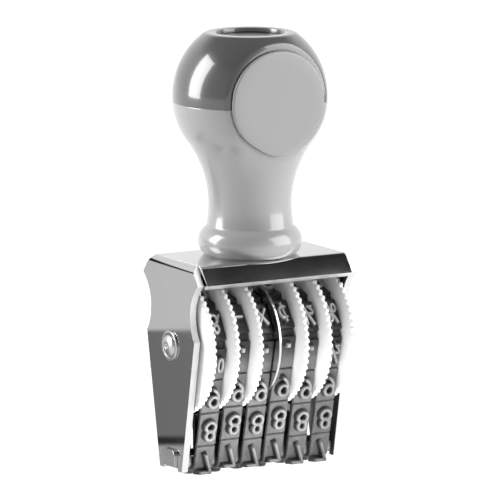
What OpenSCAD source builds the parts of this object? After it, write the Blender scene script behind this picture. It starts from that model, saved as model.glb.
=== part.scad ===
// Six-band rubber numbering stamp: a bent steel frame on a turned handle, with six thumb
// wheels on one axle and six rubber type bands that run down round a bridge at the foot.
// X runs along the axle, -Y is the front, Z is up and z = 0 is the printing plane.

/* [Frame] */
// Distance between the outer faces of the two side plates
frame_w = 36.8; // [34:0.1:44]
// Thickness of the frame's sheet steel
frame_t = 1.4; // [1:0.1:1.8]
// Gap between the thumb wheels and the underside of the frame's top
top_gap = 1.8; // [1.5:0.1:6]
// Height of the side plates' feet above the printing plane
foot_z = 1.5; // [1:0.1:1.9]
// Depth of a side plate at its foot
foot_d = 8.8; // [7.8:0.1:12]
// Depth of a side plate at the shoulder where its taper ends
shoulder_d = 19.2; // [17:0.1:21]
// Height of that shoulder
shoulder_z = 29; // [27:0.1:31]
// Depth of a side plate at its waist
waist_d = 15.7; // [13:0.1:18]
// Height of the waist
waist_z = 33.6; // [32.5:0.1:35]
// Radius of the waist's hollow curve
waist_r = 8.35; // [7:0.05:9.5]
// Depth of a side plate at its flare, just under the top
flare_d = 21.9; // [20:0.1:24]
// Depth of the top plate, before its lips turn down
top_d = 18.6; // [17:0.1:20]
// How far each lip reaches out past the top plate
lip_out = 2.76; // [1.5:0.02:3.4]
// How far each lip reaches down
lip_down = 3.64; // [2.5:0.02:4.2]
// Outer radius of the sheet's bends
bend_r = 1.9; // [1.9:0.1:2.6]

/* [Axle and wheels] */
// Height of the axle above the printing plane
axle_z = 26.7; // [26:0.1:28]
// Diameter of the axle
axle_dia = 4.6; // [3.6:0.1:5]
// How far each end of the axle stands out of its side plate
axle_end = 1; // [0.7:0.1:1.6]
// Diameter of the retaining rings on the axle's ends
ring_dia = 6.1; // [5.8:0.1:8]
// Thickness of the retaining rings
ring_t = 0.4; // [0.3:0.05:0.6]
// Diameter of a thumb wheel over its teeth
wheel_dia = 28; // [27:0.1:28.8]
// Number of teeth round a thumb wheel
tooth_count = 60; // [40:1:72]
// Depth of the teeth
tooth_h = 0.5; // [0.3:0.05:0.8]
// Thickness of a thumb wheel's toothed flange
flange_t = 0.8; // [0.6:0.05:1]
// Diameter of the drum that carries the band
drum_dia = 17.5; // [16:0.1:17.6]
// Thickness of the divider disc between the two sets of three wheels
divider_t = 0.5; // [0.4:0.05:0.7]
// Diameter of the divider disc
divider_dia = 24.4; // [23:0.1:27]
// Diameter of the thin washers beside the outer wheels
washer_dia = 9; // [7:0.1:12]
// Thickness of those washers
washer_t = 0.34; // [0.2:0.02:0.8]

/* [Type bands] */
// Gap between a band and the flanges or the divider beside it
band_play = 0.215; // [0.18:0.005:0.4]
// Gap between a band's inner face and the drum that it turns over
band_lift = 0.35; // [0.3:0.05:0.6]
// Thickness of the band without its characters
band_t = 0.85; // [0.7:0.05:1]
// Height of the raised characters
type_h = 1.25; // [0.8:0.05:1.4]
// Width of the bridge that the bands turn under
bridge_d = 7.4; // [6.6:0.1:8]
// Radius of the bands' inner face at the bridge's corners
corner_r = 1; // [0.9:0.05:1.4]
// Number of characters on a band
type_count = 12; // [11:1:13]
// How far the bands stand past having a character in the middle of the bridge
band_shift = 2.2; // [0:0.1:3]
// Height of a character
type_size = 4.3; // [3.6:0.05:4.6]
// Width of a character
type_w = 2.9; // [2.4:0.05:3.3]
// Width of a character's strokes
stroke = 0.6; // [0.45:0.05:0.7]

/* [Bridge] */
// Thickness of the bridge's sheet
bridge_t = 0.7; // [0.6:0.05:0.8]
// Height of the bridge's upturned sides
bridge_h = 9.4; // [6:0.1:9.6]
// Height of those sides under the two outer bands, where they are cut down
bridge_end_h = 2.4; // [2:0.1:5]
// Width of the tongues that are folded up over the side plates
tongue_w = 5.4; // [4:0.1:5.6]
// Height of a folded tongue
tongue_h = 3.6; // [2.5:0.1:5]

/* [Handle] */
// Height of the whole stamp
total_h = 88.7; // [86:0.1:90]
// Diameter of the handle at its widest
knob_dia = 31.2; // [30:0.1:33]
// Diameter of the handle's neck
neck_dia = 16.8; // [14:0.1:18]
// Height of the narrowest point of the neck above the frame
neck_up = 10.1; // [9:0.1:12]
// Share of the S-curve from neck to belly that is hollow
hollow_share = 0.605; // [0.5:0.005:0.68]
// Diameter of the rounded foot of the handle
base_dia = 21; // [19:0.1:23]
// Radius of that rounded foot
base_r = 3.4; // [3:0.1:4]
// Distance from the top of the cap down to its seam with the body
cap_h = 13.8; // [13:0.1:16]
// Radius of the cap's flat top
rim_r = 8.5; // [8:0.1:9.2]
// Radius of the rounded shoulder between that top and the dome
shoulder_r = 1.8; // [1.2:0.05:2.2]
// Distance from the handle's axis to the flat that carries the medallion
flat_y = 10.7; // [10.2:0.1:11.4]
// Thickness of the medallion
medal_t = 0.8; // [0.5:0.05:1.2]
// Margin between the medallion and the sides of its flat
medal_margin = 0.8; // [0.5:0.05:1.5]
// Margin between the medallion and the top and bottom of its flat
medal_end = 1.3; // [0.8:0.05:2]
// Radius of the recess in the top of the cap
recess_r = 6.8; // [5:0.1:7.6]
// Depth of that recess
recess_h = 1.2; // [0.8:0.1:2]
// Thickness of the disc in the recess
disc_t = 0.5; // [0.3:0.05:0.7]

/* [Handle screw] */
// Diameter of the screw
screw_dia = 4; // [3:0.1:4.2]
// Length of the screw under its head
screw_l = 14; // [10:0.5:20]
// Diameter of the screw's head
head_dia = 7.2; // [6.4:0.1:7.6]
// Height of the screw's head
head_h = 1.9; // [1.5:0.05:2]
// Diameter of the washer under the head
head_washer_dia = 8.6; // [8:0.1:9]
// Thickness of that washer
head_washer_t = 0.5; // [0.3:0.05:0.6]
// Diameter of the threaded brass insert
insert_dia = 6.8; // [6.4:0.1:7.6]
// Length of the threaded brass insert
insert_l = 11; // [8:0.5:13]

/* [Hidden] */
$fn = 96;

chrome = [0.78, 0.79, 0.8];
steel = [0.62, 0.63, 0.65];
white = [0.96, 0.96, 0.95];
rubber = [0.16, 0.16, 0.17];
light_grey = [0.72, 0.72, 0.73];
dark_grey = [0.34, 0.34, 0.35];
brass = [0.8, 0.68, 0.36];

// Clearances: running fits, side play, and what is pushed together by hand
run = 0.06;
play = 0.13;
slip = 0.05;
cut = 0.01; // what a cutter reaches past a face

// The handle's axis lies behind the middle of the footprint, because the knob reaches further
// back than the wheels do and its front is cut flat.
axis_y = (wheel_dia - knob_dia) / 4;

// Frame
inner_x = frame_w / 2 - frame_t;
screw_room = divider_dia / 2 + head_h + head_washer_t + top_gap / 2;
top_under = axle_z + max(wheel_dia / 2 + top_gap, screw_room);
frame_top = top_under + frame_t;
lip_angle = atan(lip_out / lip_down);
lip_half = inner_x - 0.25;
flare_back = 1; // how far the flare's edge lies behind the lip's outer face
waist_c = waist_d / 2 + waist_r;

// Wheels, from the middle outwards: three of them share the room between divider and washer
first_x = divider_t / 2 + play;
outer_wheel_x = inner_x - washer_t - 2 * run;
wheel_pitch = (outer_wheel_x - first_x + play) / 3;
wheel_w = wheel_pitch - play;
drum_w = wheel_w - flange_t;

// Band loop: a large arc over the wheel and two small ones under the bridge
band_w = drum_w + play - 2 * band_play;
loop_r = drum_dia / 2 + band_lift;
loop_bottom = band_t + type_h;
corner_y = bridge_d / 2 + slip - corner_r + slip;
corner_z = loop_bottom + corner_r;
center_run = norm([corner_y, axle_z - corner_z]);
tilt = asin((loop_r - corner_r) / center_run) - atan(corner_y / (axle_z - corner_z));
straight = sqrt(pow(center_run, 2) - pow(loop_r - corner_r, 2));
face_r = corner_r + band_t;
over_r = loop_r + band_t;
// Lengths run along the inner face, which keeps its length, so the characters spread on a wheel
corner_s = corner_y + corner_r * (90 - tilt) * PI / 180;
straight_s = corner_s + straight;
loop_half = straight_s + loop_r * (90 + tilt) * PI / 180;
type_pitch = 2 * loop_half / type_count;
groove_w = 0.4;
groove_h = 0.3;
type_root = 0.6; // how deep a character's foot lies in the band

// Handle outline: dome over the equator, belly under it, then the hollow neck
knob_r = knob_dia / 2;
seam_z = total_h - cap_h;
equator_z = seam_z + 0.6;
// The dome stands upright at the equator and touches the shoulder, which fixes its radius
dome_z = equator_z + 0.5;
dome_in = knob_r - rim_r;
dome_up = total_h - shoulder_r - dome_z;
dome_r = (dome_in * dome_in + dome_up * dome_up - shoulder_r * shoulder_r) / (2 * (dome_in - shoulder_r));
dome_c = [knob_r - dome_r, dome_z];
// Neck and belly are two arcs that touch, and both stand upright at their ends
neck_z = frame_top + neck_up;
swell = knob_r - neck_dia / 2;
both_r = (swell * swell + pow(equator_z - neck_z, 2)) / (2 * swell);
neck_r = hollow_share * both_r;
belly_r = both_r - neck_r;
neck_c = [neck_dia / 2 + neck_r, neck_z];
belly_c = [knob_r - belly_r, equator_z];
touch = belly_c + (neck_c - belly_c) * belly_r / both_r;
base_c = [base_dia / 2 - base_r, frame_top + 0.8 * base_r];
spigot_r = flat_y - 1.7;
spigot_h = 8;

function arc(c, r, a0, a1, n) =
    [for (i = [0:n]) let (a = a0 + (a1 - a0) * i / n) [c[0] + r * cos(a), c[1] + r * sin(a)]];

// Radius of the handle at height z, for the outline of its flat
function knob_at(z) =
    z > dome_c[1] ? dome_c[0] + sqrt(dome_r * dome_r - pow(z - dome_c[1], 2))
    : z > belly_c[1] ? knob_r
    : z > touch[1] ? belly_c[0] + sqrt(belly_r * belly_r - pow(z - belly_c[1], 2))
    : neck_c[0] - sqrt(neck_r * neck_r - pow(z - neck_c[1], 2));

// A length counted past the top of the loop, counted down its rear instead
function round_loop(s) = s > loop_half ? s - 2 * loop_half : s;

// Outline of a band at distance t outside its inner face, in Y and Z
function loop_outline(t) = concat(
    arc([0, axle_z], loop_r + t, -tilt, 180 + tilt, 40),
    arc([-corner_y, corner_z], corner_r + t, 180 + tilt, 270, 6),
    arc([corner_y, corner_z], corner_r + t, 270, 360 - tilt, 6)
);

// Place and outward angle on the band's face, at length s up its front from the bottom middle
function front_station(s) =
    s < corner_y ? [-s, loop_bottom - band_t, 270]
    : s < corner_s ? let (a = 270 - (s - corner_y) / corner_r * 180 / PI)
        [-corner_y + face_r * cos(a), corner_z + face_r * sin(a), a]
    : s < straight_s ? let (a = 180 + tilt, q = s - corner_s)
        [-corner_y + face_r * cos(a) - q * sin(tilt), corner_z + face_r * sin(a) + q * cos(tilt), a]
    : let (a = 180 + tilt - (s - straight_s) / loop_r * 180 / PI)
        [over_r * cos(a), axle_z + over_r * sin(a), a];
function station(s) = s >= 0 ? front_station(s)
    : let (p = front_station(-s)) [-p[0], p[1], 180 - p[2]];

// Everything is drawn round the handle's axis and then set over the footprint
module set_over() {
    translate([0, axis_y, 0]) children();
}

// A shape in Y and Z, made w wide along X about the middle
module across(w) {
    translate([-w / 2, 0, 0]) rotate([90, 0, 90]) linear_extrude(w) children();
}

// A round bar along X
module rod(r, x0, x1) {
    translate([x0, 0, axle_z]) rotate([0, 90, 0]) cylinder(r = r, h = x1 - x0);
}

module ring(r, bore_r, x0, x1) {
    difference() {
        rod(r, x0, x1);
        rod(bore_r, x0 - cut, x1 + cut);
    }
}

module both_sides() {
    children();
    mirror([1, 0, 0]) children();
}

// Frame --------------------------------------------------------------------------------------

// Upright sheet with its two top corners rounded
module arch(w, top, r) {
    translate([-w / 2, 0]) square([w, top - r]);
    translate([-w / 2 + r, 0]) square([w - 2 * r, top]);
    for (side = [-1, 1]) translate([side * (w / 2 - r), top - r]) circle(r);
}

module side_outline() {
    half = flare_d / 2;
    edge = top_d / 2 - flare_back;
    flare_z = frame_top - (half - edge) / tan(lip_angle);
    taper = (shoulder_d - foot_d) / 2 / (shoulder_z - foot_z);
    lift = waist_z - waist_r * 0.5;
    difference() {
        polygon(concat(
            [[foot_d / 2, foot_z], [foot_d / 2 + taper * (lift - foot_z), lift], [half, waist_z]],
            [[half, flare_z], [edge, frame_top], [-edge, frame_top], [-half, flare_z]],
            [[-half, waist_z], [-foot_d / 2 - taper * (lift - foot_z), lift], [-foot_d / 2, foot_z]]
        ));
        for (side = [-1, 1]) translate([side * waist_c, waist_z]) circle(waist_r);
    }
}

// Top plate with the front and rear lips, seen from the side
module top_section() {
    half = top_d / 2;
    turn = 90 - lip_angle;
    tangent = bend_r * tan(turn / 2);
    inner_r = bend_r - frame_t;
    end = [half + lip_out, frame_top - lip_down];
    inward = [-frame_t * cos(lip_angle), -frame_t * sin(lip_angle)];
    c = [half - tangent, frame_top - bend_r];
    right = concat(
        arc(c, bend_r, 90, 90 - turn, 8),
        [end, end + inward],
        arc(c, inner_r, 90 - turn, 90, 4)
    );
    polygon(concat(right, [for (i = [len(right) - 1:-1:0]) [-right[i][0], right[i][1]]]));
}

module frame() color(chrome) set_over() {
    notch = tongue_w / 2 + 2 * slip;
    difference() {
        union() {
            intersection() {
                rotate([90, 0, 0]) linear_extrude(2 * top_d, center = true) difference() {
                    arch(frame_w, frame_top, bend_r);
                    arch(frame_w - 2 * frame_t, top_under, bend_r - frame_t);
                }
                across(frame_w + 2) side_outline();
            }
            across(2 * lip_half) top_section();
        }
        rod(axle_dia / 2 + slip, -frame_w, frame_w);
        translate([0, 0, top_under - 1]) cylinder(d = screw_dia + 0.4, h = frame_t + 2);
        translate([-frame_w, -notch, 0]) cube([2 * frame_w, 2 * notch, loop_bottom + bridge_t + slip]);
    }
}

// The bridge's channel, seen from the side
module channel_section() {
    half = bridge_d / 2;
    edge_r = corner_r - 2 * slip;
    difference() {
        union() {
            translate([-half, loop_bottom + edge_r]) square([2 * half, bridge_h - edge_r]);
            translate([-half + edge_r, loop_bottom]) square([2 * (half - edge_r), edge_r]);
            for (side = [-1, 1]) translate([side * (half - edge_r), loop_bottom + edge_r]) circle(edge_r);
        }
        translate([-half + bridge_t, loop_bottom + bridge_t]) square([2 * (half - bridge_t), bridge_h]);
    }
}

// Bridge: a channel that the bands turn under, held by tongues folded up outside the plates.
// Its sides are cut down under the two outer bands.
module bridge() color(steel) set_over() {
    cut_x = first_x + 2 * wheel_pitch;
    out = frame_w / 2 + bridge_t;
    difference() {
        across(2 * inner_x - 2 * play) channel_section();
        both_sides() translate([cut_x, -bridge_d, loop_bottom + bridge_end_h])
            cube([frame_w, 2 * bridge_d, bridge_h]);
    }
    both_sides() intersection() {
        rotate([90, 0, 0]) linear_extrude(tongue_w, center = true) tongue_section();
        across(2 * out + 1) tongue_outline();
    }
}

// A tongue runs out through the notch in the side plate and turns up against its outer face
module tongue_section() {
    start = inner_x - play - 1;
    face_x = frame_w / 2;
    translate([start, loop_bottom]) square([face_x - start, bridge_t]);
    translate([face_x, loop_bottom + bridge_t]) intersection() {
        circle(bridge_t);
        translate([0, -bridge_t]) square(bridge_t);
    }
    translate([face_x, loop_bottom + bridge_t]) square([bridge_t, tongue_h - bridge_t]);
}

module tongue_outline() {
    r = tongue_w * 0.22;
    translate([-tongue_w / 2, 0]) square([tongue_w, loop_bottom + tongue_h - r]);
    translate([-tongue_w / 2 + r, 0]) square([tongue_w - 2 * r, loop_bottom + tongue_h]);
    for (side = [-1, 1]) translate([side * (tongue_w / 2 - r), loop_bottom + tongue_h - r]) circle(r);
}

// Axle and wheels ----------------------------------------------------------------------------

module axle() color(steel) set_over() {
    reach = frame_w / 2 + axle_end;
    chamfer = 0.3;
    rod(axle_dia / 2, -reach + chamfer, reach - chamfer);
    rod(axle_dia / 2 - chamfer, -reach, reach);
}

module axle_ring(side) {
    x = frame_w / 2 + ring_t / 2;
    ring(ring_dia / 2, axle_dia / 2 + slip, side * x - ring_t / 2, side * x + ring_t / 2);
}

module axle_ring_left() color(chrome) set_over() axle_ring(-1);

module axle_ring_right() color(chrome) set_over() axle_ring(1);

module side_washers() color(steel) set_over() both_sides() {
    ring(washer_dia / 2, axle_dia / 2 + slip, outer_wheel_x + run, outer_wheel_x + run + washer_t);
}

module center_divider() color(chrome) set_over() {
    ring(divider_dia / 2, axle_dia / 2 + slip, -divider_t / 2, divider_t / 2);
}

// Rim of square-cut teeth, each with sloping sides
module toothed_disc() {
    r = wheel_dia / 2;
    step = 360 / tooth_count;
    polygon([
        for (i = [0:tooth_count - 1]) for (p = [[0, -tooth_h], [0.2, 0], [0.55, 0], [0.75, -tooth_h]])
            (r + p[1]) * [cos((i + p[0]) * step), sin((i + p[0]) * step)]
    ]);
}

// A wheel whose drum starts at the middle divider's side and whose flange is outside
module wheel(index) {
    place = index < 4 ? 3 - index : index - 4;
    x = first_x + place * wheel_pitch;
    boss_r = axle_dia / 2 + 1.8;
    pocket_r = drum_dia / 2 - 1.2;
    mirror([index < 4 ? 1 : 0, 0, 0]) difference() {
        union() {
            rod(drum_dia / 2, x, x + drum_w + cut);
            translate([x + drum_w, 0, axle_z]) rotate([90, 0, 90]) linear_extrude(flange_t) toothed_disc();
        }
        rod(axle_dia / 2 + run, x - 1, x + wheel_w + 1);
        ring(pocket_r, boss_r, x - cut, x + drum_w - 1);
    }
}

module wheel_1() color(white) set_over() wheel(1);
module wheel_2() color(white) set_over() wheel(2);
module wheel_3() color(white) set_over() wheel(3);
module wheel_4() color(white) set_over() wheel(4);
module wheel_5() color(white) set_over() wheel(5);
module wheel_6() color(white) set_over() wheel(6);

// Characters ---------------------------------------------------------------------------------
// Drawn as they print: w wide and h high about the middle, out of strokes t wide.

// One unit is half a character's width or height. A glyph is a list of strokes, and a stroke is
// a list of points along its middle.

function curve(c, r, a0, a1) = let (n = ceil(abs(a1 - a0) / 24))
    [for (i = [0:n]) let (a = a0 + (a1 - a0) * i / n) [c[0] + r[0] * cos(a), c[1] + r[1] * sin(a)]];
function closed(c, r) = [curve(c, r, -8, 188), curve(c, r, 172, 368)];
function placed(glyph, c, s) =
    [for (line = glyph) [for (p = line) [c[0] + s[0] * p[0], c[1] + s[1] * p[1]]]];

SIX = concat(closed([0, -0.42], [0.95, 0.58]), [curve([0.55, -0.42], [1.5, 1.42], 180, 98)]);
DIGITS = [
    closed([0, 0], [1, 1]),
    [[[-0.7, 0.5], [0.15, 1]], [[0.15, 1], [0.15, -1]]],
    [curve([0, 0.42], [1, 0.58], 165, -35), [[0.82, 0.08], [-1, -1]], [[-1, -1], [1, -1]]],
    [curve([0, 0.5], [0.85, 0.5], 150, -90), curve([0, -0.5], [1, 0.5], 90, -150)],
    [[[0.45, 1], [0.45, -1]], [[0.45, 1], [-1, -0.4]], [[-1, -0.4], [1, -0.4]]],
    [[[0.85, 1], [-0.75, 1]], [[-0.75, 1], [-0.85, 0.1]], curve([-0.05, -0.38], [1, 0.62], 140, -145)],
    SIX,
    [[[-1, 1], [1, 1]], [[1, 1], [-0.3, -1]]],
    concat(closed([0, 0.5], [0.8, 0.5]), closed([0, -0.47], [1, 0.53])),
    placed(SIX, [0, 0], [-1, -1])
];
SLASH = [[[-0.8, -1], [0.8, 1]]];
DASH = [[[-0.7, 0], [0.7, 0]]];
CROSS = [[[-0.8, -0.8], [0.8, 0.8]], [[-0.8, 0.8], [0.8, -0.8]]];
CENT = concat([curve([0, 0], [0.8, 0.65], 50, 310)], [[[0.2, 0.95], [-0.2, -0.95]]]);
PERCENT = concat(closed([-0.5, 0.52], [0.4, 0.4]), closed([0.5, -0.52], [0.4, 0.4]), SLASH);
AMPERSAND = concat(
    closed([-0.1, 0.53], [0.46, 0.42]),
    closed([-0.24, -0.46], [0.66, 0.49]),
    [[[-0.32, 0.26], [0.92, -0.9]]]
);
TEN = concat([[[-0.65, -0.7], [-0.65, 0.7]]], closed([0.45, 0], [0.45, 0.7]));
HALF = concat(
    placed(DIGITS[1], [-0.6, 0.5], [0.3, 0.42]),
    SLASH,
    placed(DIGITS[2], [0.6, -0.5], [0.35, 0.42])
);
DOT = [for (y = [-0.95, -0.75]) [[-0.15, y], [0.15, y]]];

// The signs after 9 on each band
SIGNS = [
    [TEN, AMPERSAND], [DOT, DASH], [DOT, CROSS], [DOT, CENT], [DOT, HALF], [HALF, PERCENT]
];

// A stroke of even width t along its points; a straight stroke gets square ends
module stroke_along(points, t) {
    last = len(points) - 1;
    reach = last == 1 ? (points[1] - points[0]) / norm(points[1] - points[0]) * t / 2 : [0, 0];
    path = [for (i = [0:last]) points[i] + (i == 0 ? -reach : i == last ? reach : [0, 0])];
    side = [for (i = [0:last])
        let (d = path[min(i + 1, last)] - path[max(i - 1, 0)]) [-d[1], d[0]] / norm(d) * t / 2];
    polygon(concat([for (i = [0:last]) path[i] + side[i]], [for (i = [last:-1:0]) path[i] - side[i]]));
}

module character(glyph, t) {
    unit = [(type_w - t) / 2, (type_size - t) / 2];
    for (line = glyph) stroke_along([for (p = line) [unit[0] * p[0], unit[1] * p[1]]], t);
}

// Type bands ---------------------------------------------------------------------------------

// Sets a shape on the band's face at length s, upright as it prints
module on_face(s) {
    p = station(s);
    translate([0, p[0], p[1]]) rotate([p[2] - 90, 0, 0]) children();
}

module raised(glyph, t) {
    translate([0, 0, -type_root]) linear_extrude(type_h + type_root) mirror([0, 1]) character(glyph, t);
}

module band(index) {
    side = index < 4 ? -1 : 1;
    place = index < 4 ? 3 - index : index - 4;
    bottom_digit = 6;
    translate([side * (first_x + place * wheel_pitch + (drum_w - play) / 2), 0, 0]) {
        difference() {
            across(band_w) difference() {
                polygon(loop_outline(band_t));
                polygon(loop_outline(0));
            }
            for (k = [0:type_count - 1]) on_face(round_loop((k + 0.5) * type_pitch - band_shift))
                translate([-band_w, -groove_w / 2, -groove_h]) cube([2 * band_w, groove_w, 1]);
        }
        for (k = [0:type_count - 1]) let (
            number = (bottom_digit + k) % type_count,
            sign = number - len(DIGITS)
        ) on_face(round_loop(k * type_pitch - band_shift)) {
            if (sign < 0) raised(DIGITS[number], stroke);
            else raised(sign < 2 ? SIGNS[index - 1][sign] : SLASH, stroke * 0.75);
        }
    }
}

module band_1() color(rubber) set_over() band(1);
module band_2() color(rubber) set_over() band(2);
module band_3() color(rubber) set_over() band(3);
module band_4() color(rubber) set_over() band(4);
module band_5() color(rubber) set_over() band(5);
module band_6() color(rubber) set_over() band(6);

// Handle -------------------------------------------------------------------------------------

module upper_than(z) {
    translate([0, z]) square([2 * knob_r, total_h]);
}

// The flat on the front of the knob
module front_flat() {
    translate([-knob_dia, -flat_y - knob_dia, neck_z]) cube([2 * knob_dia, knob_dia, total_h]);
}

module body_profile() {
    start = base_c[1] + 0.4 * base_r; // the neck's curve starts inside the rounded foot
    leave = asin((equator_z - touch[1]) / belly_r);
    intersection() {
        union() {
            translate(base_c) circle(base_r);
            translate([0, frame_top]) square([base_c[0], base_c[1] + base_r - frame_top]);
        }
        upper_than(frame_top);
    }
    polygon(concat(
        [[0, start]],
        arc(neck_c, neck_r, 180 - asin((start - neck_z) / neck_r), 180 - leave, 20),
        arc(belly_c, belly_r, -leave, asin((seam_z - equator_z) / belly_r), 14),
        [[0, seam_z]]
    ));
    translate([0, seam_z - 1]) square([spigot_r, spigot_h + 1]);
}

module handle_body() color(light_grey) set_over() {
    pocket_top = frame_top + 0.5 + insert_l;
    tip = top_under - head_washer_t + screw_l;
    difference() {
        rotate_extrude() body_profile();
        front_flat();
        translate([0, 0, frame_top - 1])
            cylinder(d = insert_dia + 2 * slip, h = pocket_top - frame_top + 1);
        translate([0, 0, frame_top])
            cylinder(d = screw_dia + 2 * slip, h = max(tip, pocket_top) + 1.5 - frame_top);
    }
}

// The dome runs into the flat top over a small rounded shoulder
module cap_profile() {
    turn = atan2(dome_up, rim_r - dome_c[0]);
    difference() {
        polygon(concat(
            [[0, seam_z], [knob_r, seam_z]],
            arc(dome_c, dome_r, 0, turn, 14),
            arc([rim_r, dome_z + dome_up], shoulder_r, turn, 90, 5),
            [[0, total_h]]
        ));
        square([spigot_r + slip, seam_z + spigot_h + slip]);
        translate([0, total_h - recess_h]) square([recess_r, 2 * recess_h]);
    }
}

module handle_cap() color(dark_grey) set_over() {
    difference() {
        rotate_extrude() cap_profile();
        front_flat();
    }
}

// Outline of the flat, drawn in by the margins
function medal_outline() = let (
    top = dome_c[1] + sqrt(pow(dome_r, 2) - pow(flat_y - dome_c[0], 2)),
    bottom = neck_c[1] + sqrt(pow(neck_r, 2) - pow(neck_c[0] - flat_y, 2)),
    mid = (top + bottom) / 2,
    half = (top - bottom) / 2,
    wide = 1 - medal_margin / sqrt(pow(knob_r, 2) - pow(flat_y, 2)),
    high = 1 - medal_end / half,
    right = [for (t = [-90:6:90]) let (z = mid + half * sin(t))
        [wide * sqrt(max(pow(knob_at(z), 2) - pow(flat_y, 2), 0)), mid + high * (z - mid)]]
) concat(right, [for (i = [len(right) - 2:-1:1]) [-right[i][0], right[i][1]]]);

module medallion() color(light_grey) set_over() {
    translate([0, -flat_y, 0]) rotate([90, 0, 0]) linear_extrude(medal_t) polygon(medal_outline());
}

module top_disc() color(dark_grey) set_over() {
    translate([0, 0, total_h - recess_h]) cylinder(r = recess_r - 2 * slip, h = disc_t);
}

module handle_screw() color(steel) set_over() {
    seat = top_under - head_washer_t;
    difference() {
        union() {
            translate([0, 0, seat - head_h]) cylinder(d = head_dia, h = head_h);
            translate([0, 0, seat - cut]) cylinder(d = screw_dia, h = screw_l + cut);
        }
        translate([-head_dia, -0.5, seat - head_h - 1]) cube([2 * head_dia, 1, 1.8]);
    }
}

module screw_washer() color(steel) set_over() translate([0, 0, top_under - head_washer_t]) difference() {
    cylinder(d = head_washer_dia, h = head_washer_t);
    translate([0, 0, -1]) cylinder(d = screw_dia + 0.3, h = head_washer_t + 2);
}

module handle_insert() color(brass) set_over() translate([0, 0, frame_top + 0.5]) difference() {
    cylinder(d = insert_dia, h = insert_l);
    translate([0, 0, -1]) cylinder(d = screw_dia + 2 * slip, h = insert_l + 2);
}

frame();
bridge();
axle();
axle_ring_left();
axle_ring_right();
side_washers();
center_divider();
wheel_1();
wheel_2();
wheel_3();
wheel_4();
wheel_5();
wheel_6();
band_1();
band_2();
band_3();
band_4();
band_5();
band_6();
handle_body();
handle_cap();
medallion();
top_disc();
handle_screw();
screw_washer();
handle_insert();
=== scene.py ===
# %% [markdown]
# # A six-band numbering stamp
# The object is a hand stamp: six rubber bands with raised figures run over six toothed wheels
# and down round a small steel bridge. A bent chrome frame holds them under a turned handle.
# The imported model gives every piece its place, so this lesson only makes the looks.

# %% Load the frame
import bpy
import numpy as np
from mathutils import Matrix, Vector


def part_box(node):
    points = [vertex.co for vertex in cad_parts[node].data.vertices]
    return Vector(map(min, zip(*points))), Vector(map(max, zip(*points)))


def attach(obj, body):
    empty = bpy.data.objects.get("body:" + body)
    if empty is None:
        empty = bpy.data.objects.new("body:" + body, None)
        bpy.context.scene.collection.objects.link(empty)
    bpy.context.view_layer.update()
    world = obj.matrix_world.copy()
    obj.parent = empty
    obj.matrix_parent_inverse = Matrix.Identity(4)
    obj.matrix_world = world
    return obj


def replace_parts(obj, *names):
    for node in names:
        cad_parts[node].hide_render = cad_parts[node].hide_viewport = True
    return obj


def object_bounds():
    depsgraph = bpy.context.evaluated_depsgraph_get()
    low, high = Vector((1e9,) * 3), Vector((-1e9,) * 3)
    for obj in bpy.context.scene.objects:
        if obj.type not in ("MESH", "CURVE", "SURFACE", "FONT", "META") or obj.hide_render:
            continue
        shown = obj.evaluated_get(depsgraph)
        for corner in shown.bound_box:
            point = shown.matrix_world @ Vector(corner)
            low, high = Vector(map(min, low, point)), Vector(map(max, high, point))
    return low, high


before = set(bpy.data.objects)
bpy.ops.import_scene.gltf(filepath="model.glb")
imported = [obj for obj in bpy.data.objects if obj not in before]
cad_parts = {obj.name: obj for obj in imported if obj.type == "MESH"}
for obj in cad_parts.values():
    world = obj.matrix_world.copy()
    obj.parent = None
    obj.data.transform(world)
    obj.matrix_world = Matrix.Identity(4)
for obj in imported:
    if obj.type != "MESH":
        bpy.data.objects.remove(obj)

cad_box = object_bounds()
print("pieces in the frame:", len(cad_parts))

# %% [markdown]
# ## Units and the line that everything turns round
# All sizes below are written in millimetres, as on a drawing, and become metres when a mesh is
# made. The axle gives two measures for the rest: its height, and its place in Y, which is a little
# in front of the middle of the footprint. The handle stands straight over it.

# %% Take the main places from the frame
MM = 0.001


def span(node):
    """Lowest and highest corner of a node, in millimetres, as two arrays."""
    low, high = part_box(node)
    return np.array(low) / MM, np.array(high) / MM


axle_low, axle_high = span("axle")
axis_y = (axle_low[1] + axle_high[1]) / 2
axle_z = (axle_low[2] + axle_high[2]) / 2
frame_high = span("frame")[1]
frame_top = frame_high[2]
frame_w = 2 * frame_high[0]
total_h = cad_box[1].z / MM
print("axle height", round(axle_z, 2), "handle axis", round(axis_y, 2))

# %% [markdown]
# ## The camera
# A product photographer stands well back with a long lens, so that upright edges stay upright.
# The view is from the front left and a little above. The camera looks at a point on the handle's
# axis, so a change of the angle keeps the stamp in the middle of the frame.

# %% Place the camera
turn_left = np.radians(30.3)
look_down = np.radians(9.43)
camera_reach, aim_height = 1.2, 0.04452
sensor_width, lens_length = 36, 430
target = np.array([0, axis_y * MM, aim_height])
towards = np.array([
    -np.sin(turn_left) * np.cos(look_down),
    -np.cos(turn_left) * np.cos(look_down),
    np.sin(look_down),
])
camera = bpy.data.objects.new("camera", bpy.data.cameras.new("camera"))
bpy.context.scene.collection.objects.link(camera)
camera.data.sensor_width = sensor_width
camera.data.lens = lens_length
camera.location = target + camera_reach * towards
camera.rotation_euler = (np.pi / 2 - look_down, 0, -turn_left)
bpy.context.scene.camera = camera
print("camera at", [round(v, 3) for v in camera.location])

# %% [markdown]
# ## Node and mesh helpers
# Three small helpers keep every later cell short. One adds a shader node with its inputs, one
# joins the points of a grid into four-sided faces, and one puts several shells into one mesh.

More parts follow.
